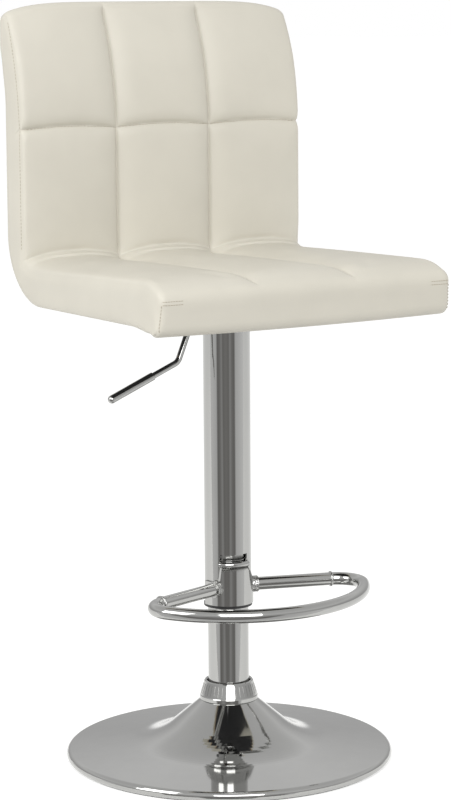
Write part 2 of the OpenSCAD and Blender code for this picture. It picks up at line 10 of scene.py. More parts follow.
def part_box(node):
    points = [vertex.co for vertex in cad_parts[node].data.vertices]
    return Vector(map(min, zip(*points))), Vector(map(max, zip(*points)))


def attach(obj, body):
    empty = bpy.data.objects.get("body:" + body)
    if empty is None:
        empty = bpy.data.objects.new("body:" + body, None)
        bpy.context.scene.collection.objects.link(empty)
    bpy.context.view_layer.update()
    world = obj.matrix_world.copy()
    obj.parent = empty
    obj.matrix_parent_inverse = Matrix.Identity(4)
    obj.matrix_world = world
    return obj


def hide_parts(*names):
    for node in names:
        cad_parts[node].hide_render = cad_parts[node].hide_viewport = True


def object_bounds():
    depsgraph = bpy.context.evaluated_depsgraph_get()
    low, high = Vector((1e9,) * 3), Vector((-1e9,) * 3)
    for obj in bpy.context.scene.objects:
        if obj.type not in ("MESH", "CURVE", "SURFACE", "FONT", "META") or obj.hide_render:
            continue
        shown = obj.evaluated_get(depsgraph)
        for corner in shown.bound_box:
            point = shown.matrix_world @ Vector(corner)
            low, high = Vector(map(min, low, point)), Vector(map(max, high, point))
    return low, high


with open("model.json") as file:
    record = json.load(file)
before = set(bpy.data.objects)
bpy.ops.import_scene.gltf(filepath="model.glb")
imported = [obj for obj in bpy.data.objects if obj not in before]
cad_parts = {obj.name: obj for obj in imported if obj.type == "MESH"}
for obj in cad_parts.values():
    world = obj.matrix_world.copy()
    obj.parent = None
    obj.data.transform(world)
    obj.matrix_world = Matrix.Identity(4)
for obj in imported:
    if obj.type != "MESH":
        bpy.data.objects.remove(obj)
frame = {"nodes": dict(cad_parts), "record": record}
cad_low, cad_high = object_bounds()
cad_nodes = frame["nodes"]
MM = 0.001


# ---- Material helpers ----

def new_material(name, colour, roughness, metallic=0.0):
    """A material with its principled shader set, and the shader and node tree to build on."""
    material = bpy.data.materials.new(name)
    material.use_nodes = True
    material.diffuse_color = (*colour, 1)
    tree = material.node_tree
    shader = tree.nodes["Principled BSDF"]
    shader.inputs["Base Color"].default_value = (*colour, 1)
    shader.inputs["Roughness"].default_value = roughness
    shader.inputs["Metallic"].default_value = metallic
    return material, tree, shader


def object_space(tree, stretch=(1, 1, 1)):
    """Object coordinates, stretched along each axis."""
    coordinates = tree.nodes.new("ShaderNodeTexCoord")
    mapping = tree.nodes.new("ShaderNodeMapping")
    mapping.inputs["Scale"].default_value = stretch
    tree.links.new(coordinates.outputs["Object"], mapping.inputs["Vector"])
    return mapping.outputs["Vector"]


def noise(tree, size, detail=2.0, stretch=(1, 1, 1)):
    """Noise whose features are about size metres across."""
    texture = tree.nodes.new("ShaderNodeTexNoise")
    texture.inputs["Scale"].default_value = 1 / size
    texture.inputs["Detail"].default_value = detail
    tree.links.new(object_space(tree, stretch), texture.inputs["Vector"])
    return texture.outputs["Fac"]


def cells(tree, size, feature="F1"):
    """Cell pattern whose cells are about size metres across."""
    texture = tree.nodes.new("ShaderNodeTexVoronoi")
    texture.feature = feature
    texture.inputs["Scale"].default_value = 1 / size
    tree.links.new(object_space(tree), texture.inputs["Vector"])
    return texture.outputs["Distance"]


def vary_roughness(tree, shader, value, low, high, start=0.3, end=0.7):
    """Roughness from low to high as the value goes from start to end."""
    node = tree.nodes.new("ShaderNodeMapRange")
    node.inputs["From Min"].default_value = start
    node.inputs["From Max"].default_value = end
    node.inputs["To Min"].default_value = low
    node.inputs["To Max"].default_value = high
    tree.links.new(value, node.inputs["Value"])
    tree.links.new(node.outputs["Result"], shader.inputs["Roughness"])


def vary_colour(tree, shader, value, dark, light, start=0.3, end=0.7):
    """Base colour from dark to light as the value goes from start to end."""
    ramp = tree.nodes.new("ShaderNodeValToRGB")
    ramp.color_ramp.elements[0].position = start
    ramp.color_ramp.elements[0].color = (*dark, 1)
    ramp.color_ramp.elements[1].position = end
    ramp.color_ramp.elements[1].color = (*light, 1)
    tree.links.new(value, ramp.inputs["Fac"])
    tree.links.new(ramp.outputs["Color"], shader.inputs["Base Color"])


def add_bump(tree, shader, height, depth, strength=1.0):
    """Relief of the given depth in metres on the shader, over any relief it already has."""
    bump = tree.nodes.new("ShaderNodeBump")
    bump.inputs["Distance"].default_value = depth
    bump.inputs["Strength"].default_value = strength
    tree.links.new(height, bump.inputs["Height"])
    normal = shader.inputs["Normal"]
    if normal.is_linked:
        tree.links.new(normal.links[0].from_socket, bump.inputs["Normal"])
    tree.links.new(bump.outputs["Normal"], normal)


def shade(colour, factor):
    """A colour made lighter or darker."""
    return tuple(min(1.0, c * factor) for c in colour)


# ---- Materials ----

CHROME = (0.43, 0.43, 0.42)


def chrome_material():
    """Polished chrome plate with the faintest waviness and wiping marks."""
    material, tree, shader = new_material("chrome_plate", CHROME, 0.06, 1.0)
    wiping = noise(tree, 18 * MM, 4, (1, 1, 0.25))
    vary_roughness(tree, shader, wiping, 0.035, 0.085)
    vary_colour(tree, shader, wiping, shade(CHROME, 0.97), CHROME)
    add_bump(tree, shader, noise(tree, 60 * MM), 0.05 * MM, 0.25)
    return material


def weld_material():
    """Chromed weld bead, rougher than the tubes it joins."""
    material, tree, shader = new_material("chromed_weld", CHROME, 0.16, 1.0)
    ripple = noise(tree, 2.2 * MM, 3)
    vary_roughness(tree, shader, ripple, 0.08, 0.24)
    add_bump(tree, shader, ripple, 1.1 * MM, 0.8)
    return material


def casting_material():
    """Black sealed cast iron, with a sand-cast surface."""
    colour = (0.028, 0.028, 0.03)
    material, tree, shader = new_material("black_casting", colour, 0.6)
    grain = noise(tree, 1.8 * MM, 5)
    vary_colour(tree, shader, grain, shade(colour, 0.7), shade(colour, 1.6))
    vary_roughness(tree, shader, grain, 0.5, 0.75)
    add_bump(tree, shader, grain, 0.4 * MM, 0.7)
    return material


def rubber_material():
    """Matte black rubber with dust in its pores."""
    colour = (0.02, 0.02, 0.02)
    material, tree, shader = new_material("rubber", colour, 0.85)
    pores = noise(tree, 0.9 * MM, 3)
    vary_colour(tree, shader, pores, colour, shade(colour, 2.2), 0.5, 0.8)
    add_bump(tree, shader, pores, 0.15 * MM, 0.6)
    return material


def zinc_material():
    """Zinc-plated steel, dull silver with soft spangle."""
    colour = (0.55, 0.56, 0.57)
    material, tree, shader = new_material("zinc_plate", colour, 0.34, 1.0)
    spangle = cells(tree, 5 * MM)
    vary_colour(tree, shader, spangle, shade(colour, 0.82), shade(colour, 1.1), 0, 0.8)
    vary_roughness(tree, shader, noise(tree, 3 * MM, 4), 0.26, 0.45)
    add_bump(tree, shader, noise(tree, 0.6 * MM, 2), 0.03 * MM, 0.5)
    return material


def black_paint_material():
    """Satin black paint with a little orange peel."""
    colour = (0.018, 0.018, 0.019)
    material, tree, shader = new_material("satin_black_paint", colour, 0.38)
    peel = noise(tree, 1.5 * MM, 2)
    vary_roughness(tree, shader, peel, 0.32, 0.46)
    vary_colour(tree, shader, noise(tree, 30 * MM, 3), colour, shade(colour, 1.4))
    add_bump(tree, shader, peel, 0.08 * MM, 0.5)
    return material


def black_plastic_material():
    """Black moulded nylon with fine spark texture."""
    colour = (0.014, 0.014, 0.015)
    material, tree, shader = new_material("black_nylon", colour, 0.48)
    spark = noise(tree, 0.5 * MM, 3)
    vary_roughness(tree, shader, spark, 0.42, 0.6)
    add_bump(tree, shader, spark, 0.06 * MM, 0.6)
    return material


def plywood_material():
    """Birch plywood with long grain across the seat."""
    colour = (0.56, 0.39, 0.21)
    material, tree, shader = new_material("birch_plywood", colour, 0.62)
    grain = noise(tree, 5 * MM, 6, (0.08, 1, 1))
    vary_colour(tree, shader, grain, shade(colour, 0.7), shade(colour, 1.15))
    add_bump(tree, shader, grain, 0.2 * MM, 0.5)
    return material


def leather_material():
    """Ivory faux leather: soft, slightly uneven in tone, with a fine pebbled grain."""
    colour = (0.550, 0.525, 0.455)
    material, tree, shader = new_material("ivory_faux_leather", colour, 0.5)
    tone = noise(tree, 55 * MM, 3)
    vary_colour(tree, shader, tone, shade(colour, 0.975), shade(colour, 1.02))
    grain = cells(tree, 1.3 * MM, "SMOOTH_F1")
    vary_roughness(tree, shader, grain, 0.42, 0.56, 0, 0.8)
    add_bump(tree, shader, noise(tree, 7 * MM, 3), 0.25 * MM, 0.25)
    add_bump(tree, shader, grain, 0.06 * MM, 0.35)
    shader.inputs["Specular IOR Level"].default_value = 0.4
    return material


def thread_material():
    """Polyester thread, twisted, darker than the leather."""
    colour = (0.40, 0.35, 0.27)
    material, tree, shader = new_material("ivory_thread", colour, 0.7)
    twist = noise(tree, 0.4 * MM, 2)
    vary_colour(tree, shader, twist, shade(colour, 0.75), shade(colour, 1.1))
    add_bump(tree, shader, twist, 0.1 * MM, 0.6)
    return material


def dust_cloth_material():
    """Thin black non-woven cloth with pressed dots."""
    colour = (0.016, 0.016, 0.017)
    material, tree, shader = new_material("black_nonwoven", colour, 0.9)
    dots = cells(tree, 1.6 * MM)
    vary_colour(tree, shader, dots, shade(colour, 0.6), shade(colour, 2.2), 0.1, 0.7)
    add_bump(tree, shader, dots, 0.15 * MM, 0.7)
    add_bump(tree, shader, noise(tree, 4 * MM, 4), 0.2 * MM, 0.4)
    return material


LEATHER = leather_material()
THREAD = thread_material()
DUST_CLOTH = dust_cloth_material()
ZINC = zinc_material()
SLOT_MATERIALS = {
    "chrome": chrome_material(),
    "ballast": casting_material(),
    "rubber": rubber_material(),
    "zinc_steel": ZINC,
    "black_steel": black_paint_material(),
    "black_plastic": black_plastic_material(),
    "plywood": plywood_material(),
    "ivory_leather": LEATHER,
    "dust_cloth": DUST_CLOTH,
}


def finish_cad_nodes():
    """Every CAD node gets the material of its slot; the welds get their own rougher chrome."""
    for subpart in frame["record"]["subparts"]:
        node = cad_nodes[subpart["node"]]
        node.data.materials.clear()
        node.data.materials.append(SLOT_MATERIALS[subpart["material_slot"]])
    cad_nodes["footrest_welds"].data.materials[0] = weld_material()


finish_cad_nodes()


# ---- Sizes of the upholstery, taken from the CAD nodes ----

# The padding stands this far out past the CAD's flat sides.
SIDE_BULGE = 1.5 * MM
HALF_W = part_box("side_boxing_left")[1].x + SIDE_BULGE
FRONT_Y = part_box("side_boxing_left")[0].y
APRON_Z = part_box("side_boxing_left")[0].z
UNDER_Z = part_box("dust_cover")[1].z
TOP_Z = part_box("top_boxing")[1].z
TOP_REAR_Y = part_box("top_boxing")[1].y
SEAT_THICK = 54 * MM
BACK_THICK = 48 * MM
SEAT_Z = UNDER_Z + SEAT_THICK
# The CAD's two pads part in their inner corner, 0.3 of its radius in front of the back's face.
INNER_CORNER_R = 20 * MM
BACK_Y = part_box("back_pad")[0].y + 0.3 * INNER_CORNER_R
REAR_Y = BACK_Y + BACK_THICK
# Above LEAN_Z the back's face leans to the rear along an arc of radius LEAN_R.
LEAN_Z = TOP_Z - 159 * MM
LEAN_R = 368 * MM
LEAN_TURN = math.asin((TOP_Z - 14 * MM - LEAN_Z) / LEAN_R)
LEAN_CORNER_Z = LEAN_Z + LEAN_R * math.tan(LEAN_TURN / 2)
# The apron's lip reaches this far back before the underside steps up to the dust cloth.
LIP = 24 * MM
MID_CREASE_Z = 767 * MM
SPOT_Y = 50 * MM


# ---- Side outline ----

def rounded_outline(corners):
    """Closed outline through corners (y, z, radius), each rounded by its radius."""
    points = []
    for i, (y, z, radius) in enumerate(corners):
        corner = np.array([y, z])
        back = np.array(corners[i - 1][:2]) - corner
        ahead = np.array(corners[(i + 1) % len(corners)][:2]) - corner
        back = back / np.linalg.norm(back)
        ahead = ahead / np.linalg.norm(ahead)
        turn = math.pi - math.acos(np.clip(back @ ahead, -1, 1))
        middle = (back + ahead) / np.linalg.norm(back + ahead)
        centre = corner + middle * radius / math.cos(turn / 2)
        side = np.sign(back[0] * ahead[1] - back[1] * ahead[0])
        across = np.array([-middle[1], middle[0]]) * side
        steps = max(6, int(radius * turn / MM))
        for k in range(steps + 1):
            a = turn * (k / steps - 0.5)
            points.append(centre + radius * (across * math.sin(a) - middle * math.cos(a)))
    return np.array(points)


class Outline:
    """A closed line that gives its point and outward normal at any length along it."""

    def __init__(self, points):
        ring = np.vstack([points, points[:1]])
        steps = np.linalg.norm(np.diff(ring, axis=0), axis=1)
        along = np.concatenate([[0], np.cumsum(steps)])
        self.length = along[-1]
        self.s = np.arange(0, self.length, 0.5 * MM)
        self.y = np.interp(self.s, along, ring[:, 0])
        self.z = np.interp(self.s, along, ring[:, 1])

    def at(self, s):
        """The point (y, z) at a length along the line."""
        return (np.interp(s, self.s, self.y, period=self.length),
                np.interp(s, self.s, self.z, period=self.length))

    def normal(self, s):
        """The outward normal (y, z) at a length along the line."""
        reach = 1.5 * MM
        y0, z0 = self.at(s - reach)
        y1, z1 = self.at(s + reach)
        size = np.hypot(y1 - y0, z1 - z0)
        return -(z1 - z0) / size, (y1 - y0) / size

    def nearest(self, y, z):
        """The length along the line of its nearest place to a point."""
        return self.s[np.argmin((self.y - y) ** 2 + (self.z - z) ** 2)]


# Corners from the apron's foot over the seat, up the back's face, over the top and down the rear.
outline = Outline(rounded_outline([
    (FRONT_Y + 5 * MM, APRON_Z, 15 * MM),
    (FRONT_Y, SEAT_Z - 13 * MM, 16 * MM),
    (FRONT_Y + 33 * MM, SEAT_Z + 2 * MM, 60 * MM),
    (BACK_Y, SEAT_Z - 5 * MM, 16 * MM),
    (BACK_Y, LEAN_CORNER_Z, LEAN_R),
    (BACK_Y + (TOP_Z - LEAN_CORNER_Z) * math.tan(LEAN_TURN), TOP_Z, 13 * MM),
    (TOP_REAR_Y, TOP_Z, 15 * MM),
    (TOP_REAR_Y, TOP_Z - 50 * MM, 40 * MM),
    (REAR_Y, LEAN_Z + 45 * MM, 150 * MM),
    (REAR_Y, UNDER_Z, 83 * MM),
    (FRONT_Y + LIP, UNDER_Z, 2 * MM),
    (FRONT_Y + LIP, APRON_Z, 4 * MM),
]))

# Places along the outline: the apron's front, the front roll, the seat, the deeper spot in its creases,
# the joint of seat and back, the crease across the back, the top, the rear bend and the apron's foot.
S_APRON = outline.nearest(FRONT_Y, APRON_Z + 32 * MM)
S_ROLL = outline.nearest(FRONT_Y, SEAT_Z - 13 * MM)
S_SEAT = outline.nearest(FRONT_Y + 45 * MM, SEAT_Z)
S_SPOT = outline.nearest(SPOT_Y, SEAT_Z)
S_JOIN = outline.nearest(BACK_Y, SEAT_Z)
S_MID = outline.nearest(BACK_Y, MID_CREASE_Z)
S_TOP = outline.nearest((BACK_Y + TOP_REAR_Y) / 2 + 16 * MM, TOP_Z)
S_BEND = outline.nearest(REAR_Y - 24 * MM, UNDER_Z + 24 * MM)
S_START = outline.nearest(FRONT_Y + 13 * MM, APRON_Z)


# ---- Quilted cover ----

SEAM_X = HALF_W / 3
# Depth of a lengthwise crease, how far its roll-off reaches, how far a panel's middle is crowned, how
# deep the extra spot is, and how far the seat swells where it meets the back.
PUFF = 9 * MM
ROLL_OFF = 27 * MM
DOME = 2.5 * MM
SPOT_DEPTH = 5 * MM
HEEL = 8 * MM
CROSS_CREASES = (
    # place along the outline, arch of its middle over a panel, reach of its roll-off, share of PUFF
    (S_JOIN, 7 * MM, 10 * MM, 0.7),
    (S_MID, 4 * MM, 15 * MM, 0.75),
)
EDGE_DROPS = (
    # place along the outline, how far the cover drops at its side edges
    (S_START, 3 * MM),
    (S_APRON, 7 * MM),
    (S_ROLL, 6 * MM),
    (S_SEAT, 9 * MM),
    (S_JOIN - 30 * MM, 12 * MM),
    (S_JOIN + 25 * MM, 5 * MM),
    (S_TOP, 6 * MM),
    (S_BEND, 4 * MM),
    (S_BEND + 60 * MM, 1 * MM),
    (outline.length - 20 * MM, 1 * MM),
    (outline.length, 3 * MM),
)
PANEL_COLUMNS = 28
SIDE_STRIPS = 8


def graded(start, end, count, grading=0.85):
    """Values from start to end that lie closer together near both, without the last one."""
    t = np.arange(count) / count
    even = start + (end - start) * t
    bunched = start + (end - start) * (1 - np.cos(math.pi * t)) / 2
    return grading * bunched + (1 - grading) * even


def swell(distance, reach):
    """0 in a crease, rising in a quarter round to 1 at reach from it."""
    t = np.clip(np.abs(distance) / reach, 0, 1)
    return np.sqrt(1 - (1 - t) ** 2)


def window(s, rise_start, rise_end, fall_start, fall_end):
    """0 outside, 1 inside, with smooth flanks."""
    up = np.clip((s - rise_start) / (rise_end - rise_start), 0, 1)
    down = np.clip((fall_end - s) / (fall_end - fall_start), 0, 1)
    t = np.minimum(up, down)
    return t * t * (3 - 2 * t)


def cover_rows():
    """Places of the cover's rows along the outline: up the face, then down the rear to the start."""
    seat_rows = np.concatenate([
        graded(S_START, S_APRON, 12, 0.2),
        graded(S_APRON, S_ROLL, 10, 0.2),
        graded(S_ROLL, S_JOIN, 68, 0.75),
    ])
    back_rows = np.concatenate([
        graded(S_JOIN, S_MID, 34),
        graded(S_MID, S_TOP, 40),
    ])
    rear_rows = graded(S_TOP, S_BEND, len(back_rows), 0)
    under_rows = graded(S_BEND, S_START + outline.length, len(seat_rows), 0)
    return np.concatenate([seat_rows, back_rows, rear_rows, under_rows])


def cover_columns():
    """Places across the seat, closer together at the seams."""
    edges = [-HALF_W, -SEAM_X, SEAM_X, HALF_W]
    panels = [graded(a, b, PANEL_COLUMNS) for a, b in zip(edges, edges[1:])]
    return np.concatenate(panels + [[HALF_W]])


def cover_relief(x, s):
    """How far the cover stands out from the outline: creases, puffed panels and rounded side edges."""
    upright = window(s, S_ROLL - 2 * MM, S_ROLL + 42 * MM, S_TOP - 24 * MM, S_TOP - 6 * MM)
    panel = np.ones_like(s)
    for seam in (-SEAM_X, SEAM_X):
        panel = panel * (1 - upright * (1 - swell(x - seam, ROLL_OFF)))
    across = np.abs(np.sin(1.5 * math.pi * (x / HALF_W + 1)))
    for s_crease, arch, reach, strength in CROSS_CREASES:
        panel = panel * (1 - strength * (1 - swell(s - s_crease - arch * across, reach)))
    drop = np.interp(s, *zip(*EDGE_DROPS))
    edge = swell(HALF_W - np.abs(x), 1.15 * drop + 1.5 * MM)
    along = np.zeros_like(s)
    for low, high in ((S_ROLL, S_JOIN), (S_JOIN, S_MID), (S_MID, S_TOP)):
        inside = (s > low) & (s < high)
        along = np.where(inside, np.sin(math.pi * (s - low) / (high - low)), along)
    to_seam = np.minimum(np.abs(x - SEAM_X), np.abs(x + SEAM_X))
    spot = SPOT_DEPTH * np.exp(-(to_seam / (9 * MM)) ** 2 - ((s - S_SPOT) / (16 * MM)) ** 2)
    past_heel = s - S_JOIN + 4 * MM
    heel = HEEL * across * np.exp(-(past_heel / np.where(past_heel < 0, 36 * MM, 12 * MM)) ** 2)
    return DOME * across * along + heel - PUFF * (1 - panel) - spot - drop * (1 - edge)


def bow_edges(points):
    """Arches the top edge, lets the apron's lower edge sag and drops the sides' hem towards the apron."""
    top_arch = 13 * MM
    apron_sag = 4 * MM
    hem_drop = 4.5 * MM
    across = np.abs(points[:, 0]) / HALF_W
    near_top = np.clip((points[:, 2] - (TOP_Z - 70 * MM)) / (70 * MM), 0, 1)
    points[:, 2] -= top_arch * across ** 6 * near_top
    near_low = np.clip(((APRON_Z + 35 * MM) - points[:, 2]) / (35 * MM), 0, 1)
    front = np.clip((FRONT_Y + 30 * MM - points[:, 1]) / (30 * MM), 0, 1)
    points[:, 2] -= apron_sag * (1 - across ** 2) * near_low * front
    beside = np.clip((np.abs(points[:, 0]) - (HALF_W - 12 * MM)) / (8 * MM), 0, 1)
    hem = window(points[:, 1], FRONT_Y + LIP - 6 * MM, FRONT_Y + LIP, FRONT_Y + LIP, FRONT_Y + 68 * MM)
    near_under = window(points[:, 2], APRON_Z + 4 * MM, UNDER_Z - 1 * MM, UNDER_Z, UNDER_Z + 16 * MM)
    points[:, 2] -= hem_drop * beside * hem * near_under
    return points


def cover_grid():
    """Points of the wrapped cover as rows by columns, and its rows' lengths."""
    rows = cover_rows()
    columns = cover_columns()
    s, x = np.meshgrid(rows, columns, indexing="ij")
    relief = cover_relief(x, np.mod(s, outline.length))
    y, z = outline.at(s)
    ny, nz = outline.normal(s)
    seam = window(s, S_JOIN - 5 * MM, S_JOIN + 20 * MM, S_BEND - 60 * MM, S_BEND)
    pulled = np.abs(x) > HALF_W - 0.1 * MM
    x = x - np.sign(x) * pulled * seam * 0.8 * MM
    return np.stack([x, y + ny * relief, z + nz * relief], axis=-1), rows


def side_points(face, rear, sign):
    """Points of the side strip between a face edge point and a rear edge point."""
    t = (np.arange(1, SIDE_STRIPS) / SIDE_STRIPS)[:, None]
    points = face + (rear - face) * t
    full = 1 - (2 * t[:, 0] - 1) ** 6
    points[:, 0] += sign * 1.8 * MM * full
    return points


def cover_mesh():
    """Closed mesh of the whole cover: the wrapped grid and its two side strips."""
    grid, rows = cover_grid()
    row_count, column_count = grid.shape[:2]
    top_row = row_count // 2
    points = list(grid.reshape(-1, 3))
    faces = []
    for i in range(row_count):
        j = (i + 1) % row_count
        for k in range(column_count - 1):
            faces.append((i * column_count + k, i * column_count + k + 1,
                          j * column_count + k + 1, j * column_count + k))
    for sign, column in ((-1, 0), (1, column_count - 1)):
        lines = [[column] * (SIDE_STRIPS + 1)]
        for i in range(1, top_row):
            rear = row_count - i
            first = len(points)
            points.extend(side_points(grid[i, column], grid[rear, column], sign))
            between = range(first, len(points))
            lines.append([i * column_count + column, *between, rear * column_count + column])
        lines.append([top_row * column_count + column] * (SIDE_STRIPS + 1))
        for a, b in zip(lines, lines[1:]):
            for k in range(SIDE_STRIPS):
                ring = [a[k], a[k + 1], b[k + 1], b[k]] if sign > 0 else [a[k], b[k], b[k + 1], a[k + 1]]
                ring = list(dict.fromkeys(ring))
                if len(ring) > 2:
                    faces.append(ring)
    mesh = bpy.data.meshes.new("upholstery")
    mesh.from_pydata([tuple(p) for p in bow_edges(np.array(points))], [], faces)
    mesh.validate()
    mesh.update()
    return mesh, rows


def link(obj):
    """Puts a new object in the scene."""
    bpy.context.scene.collection.objects.link(obj)
    return obj


def hold_weights(mesh, rows):
    """1 where the cover is sewn or glued down, 0 in the middle of the puffed panels."""
    s, x = np.meshgrid(rows, cover_columns(), indexing="ij")
    hold = np.ones(len(mesh.vertices))
    puffed = (s > S_ROLL - 20 * MM) & (s < S_TOP - 8 * MM) & (HALF_W - np.abs(x) > 4 * MM)
    for seam in (-SEAM_X, SEAM_X):
        puffed &= np.abs(x - seam) > 1 * MM
    for crease in (S_JOIN, S_MID):
        puffed &= np.abs(s - crease) > 1 * MM
    hold[:puffed.size] = np.where(puffed.ravel(), 0.0, 1.0)
    return hold


def inflate(obj, hold, pressure=4.0, frames=20, cap=4 * MM):
    """Blows the cover's free panels up with the cloth solver, then caps how far each point moved."""
    group = obj.vertex_groups.new(name="sewn")
    for index in np.nonzero(hold > 0)[0]:
        group.add([int(index)], float(hold[index]), "REPLACE")
    cloth = obj.modifiers.new("cloth", "CLOTH")
    cloth.settings.vertex_group_mass = "sewn"
    cloth.settings.quality = 6
    cloth.settings.mass = 0.4
    cloth.settings.tension_stiffness = 25
    cloth.settings.compression_stiffness = 25
    cloth.settings.shear_stiffness = 10
    cloth.settings.bending_stiffness = 4
    cloth.settings.use_pressure = True
    cloth.settings.uniform_pressure_force = pressure
    cloth.settings.effector_weights.gravity = 0
    cloth.point_cache.frame_start = 1
    cloth.point_cache.frame_end = frames
    for step in range(1, frames + 1):
        bpy.context.scene.frame_set(step)
    evaluated = obj.evaluated_get(bpy.context.evaluated_depsgraph_get())
    after = np.array([v.co for v in evaluated.data.vertices])
    before = np.array([v.co for v in obj.data.vertices])
    obj.modifiers.remove(cloth)
    bpy.context.scene.frame_set(1)
    moved = after - before
    size = np.linalg.norm(moved, axis=1, keepdims=True)
    capped = moved * np.minimum(1, cap / np.maximum(size, 1e-9))
    obj.data.vertices.foreach_set("co", (before + capped).ravel())
    obj.data.update()


def make_upholstery():
    """The whole quilted cover as one piece."""
    mesh, rows = cover_mesh()
    cover = link(bpy.data.objects.new("upholstery", mesh))
    mesh.materials.append(LEATHER)
    mesh.shade_smooth()
    inflate(cover, hold_weights(mesh, rows))
    smooth = cover.modifiers.new("smooth", "SUBSURF")
    smooth.levels = 1
    smooth.render_levels = 1
    return cover


cover = make_upholstery()
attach(cover, "seat")
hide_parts("seat_pad", "back_pad", "rear_pad", "front_apron", "side_boxing_left",
            "side_boxing_right", "top_boxing")


# ---- Stitches ----

def surface_of(obj):
    """The finished surface of a piece, for finding the nearest point on it."""
    return BVHTree.FromObject(obj, bpy.context.evaluated_depsgraph_get())


def stitch_row(curve, surface, path, pitch, length, lift):
    """Adds one row of short stitches to a curve, laid on the surface along a path of points."""
    path = [Vector(p) for p in path]
    steps = [(b - a).length for a, b in zip(path, path[1:])]
    total = sum(steps)
    count = max(1, int(total / pitch))
    marks = np.concatenate([[0], np.cumsum(steps)])
    line = np.array(path)

    def spot(distance):
        return Vector([np.interp(distance, marks, line[:, k]) for k in range(3)])

    for i in range(count):
        middle = (i + 0.5) * total / count
        spline = curve.splines.new("POLY")
        spline.points.add(3)
        for k, (t, rise) in enumerate(((-0.5, -0.4), (-0.25, 1), (0.25, 1), (0.5, -0.4))):
            point, normal, _, _ = surface.find_nearest(spot(middle + t * length))
            spline.points[k].co = (*(point + normal * rise * lift), 1)


def thread_curve(name, thickness):
    """An empty curve that holds rows of stitches."""
    curve = bpy.data.curves.new(name, "CURVE")
    curve.dimensions = "3D"
    curve.bevel_depth = thickness / 2
    curve.bevel_resolution = 2
    curve.use_fill_caps = True
    curve.materials.append(THREAD)
    return curve


def outline_point(x, s, offset=0.0):
    """A point on the side outline at a place across the seat."""
    y, z = outline.at(s)
    ny, nz = outline.normal(s)
    return (x, float(y + ny * offset), float(z + nz * offset))


def make_corner_stitches():
    """The front corners' upright closing seams and the two short rows at the head of each."""
    surface = surface_of(cover)
    curve = thread_curve("corner_stitches", 0.7 * MM)
    for side in (-1, 1):
        x = side * (HALF_W - 2 * MM)
        foot = outline_point(x, S_START + 8 * MM, -2 * MM)
        head = outline_point(x, S_ROLL - 10 * MM, -2 * MM)
        stitch_row(curve, surface, [foot, head], 3.6 * MM, 2.2 * MM, 0.4 * MM)
        for height in (6 * MM, 10 * MM):
            inner = outline_point(x - side * 27 * MM, S_ROLL - height)
            outer = outline_point(x, S_ROLL - height)
            stitch_row(curve, surface, [outer, inner], 3.2 * MM, 2.4 * MM, 0.1 * MM)
    return link(bpy.data.objects.new("corner_stitches", curve))


def make_seam_stitches():
    """Stitches that show in the crease across the back and along the side seams."""
    surface = surface_of(cover)
    curve = thread_curve("seam_stitches", 0.6 * MM)
    across = np.linspace(-HALF_W + 8 * MM, HALF_W - 8 * MM, 60)
    crease = [outline_point(x, S_MID, -PUFF) for x in across]
    stitch_row(curve, surface, crease, 4.5 * MM, 2.6 * MM, 0.5 * MM)
    for side in (-1, 1):
        lengths = np.linspace(S_JOIN + 10 * MM, S_TOP - 30 * MM, 60)
        seam = [outline_point(side * HALF_W, s, -8 * MM) for s in lengths]
        stitch_row(curve, surface, seam, 4.2 * MM, 2.6 * MM, 0.2 * MM)
    return link(bpy.data.objects.new("seam_stitches", curve))


for stitches in (make_corner_stitches(), make_seam_stitches()):
    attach(stitches, "seat")


# ---- Underside ----

def make_dust_cloth():
    """Thin cloth stapled under the plywood, a little slack between its edges."""
    low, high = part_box("dust_cover")
    inset = 5 * MM
    columns, rows = 60, 44
    points = []
    for j in range(rows + 1):
        for i in range(columns + 1):
            u, v = i / columns, j / rows
            x = low.x + inset + u * (high.x - low.x - 2 * inset)
            y = low.y + inset + v * (high.y - low.y - 2 * inset)
            edge = min(u, 1 - u, v, 1 - v)
            slack = 0.35 * MM * math.sin(19 * u + 5 * v) * math.sin(13 * v - 4 * u) * min(1, edge * 8)
            points.append((x, y, low.z + 0.55 * MM + slack))
    faces = []
    for j in range(rows):
        for i in range(columns):
            a = j * (columns + 1) + i
            faces.append((a, a + columns + 1, a + columns + 2, a + 1))
    mesh = bpy.data.meshes.new("dust_cloth")
    mesh.from_pydata(points, [], faces)
    mesh.materials.append(DUST_CLOTH)
    mesh.shade_smooth()
    cloth = link(bpy.data.objects.new("dust_cloth", mesh))
    return cloth, (high.x - low.x - 2 * inset, high.y - low.y - 2 * inset)


def make_staples():
    """Wire staples round the edge of the dust cloth."""
    low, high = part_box("dust_cover")
    inset = 10 * MM
    pitch = 32 * MM
    half = 5 * MM
    curve = bpy.data.curves.new("staples", "CURVE")
    curve.dimensions = "3D"
    curve.bevel_depth = 0.45 * MM
    curve.bevel_resolution = 1
    curve.use_fill_caps = True
    curve.materials.append(ZINC)
    corners = [(low.x + inset, low.y + inset), (high.x - inset, low.y + inset),
               (high.x - inset, high.y - inset), (low.x + inset, high.y - inset)]
    for a, b in zip(corners, corners[1:] + corners[:1]):
        a, b = Vector((*a, low.z)), Vector((*b, low.z))
        count = int((b - a).length / pitch)
        along = (b - a).normalized()
        for i in range(count):
            middle = a + (b - a) * (i + 0.5) / count
            spline = curve.splines.new("POLY")
            spline.points.add(3)
            for k, (reach, rise) in enumerate(((-half, 1), (-half, 0), (half, 0), (half, 1))):
                spline.points[k].co = (*(middle + along * reach + Vector((0, 0, rise * MM))), 1)
    return link(bpy.data.objects.new("staples", curve))


dust_cloth, dust_size = make_dust_cloth()
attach(dust_cloth, "seat")
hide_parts("dust_cover")
staples = make_staples()
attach(staples, "seat")


# ---- Studio ----

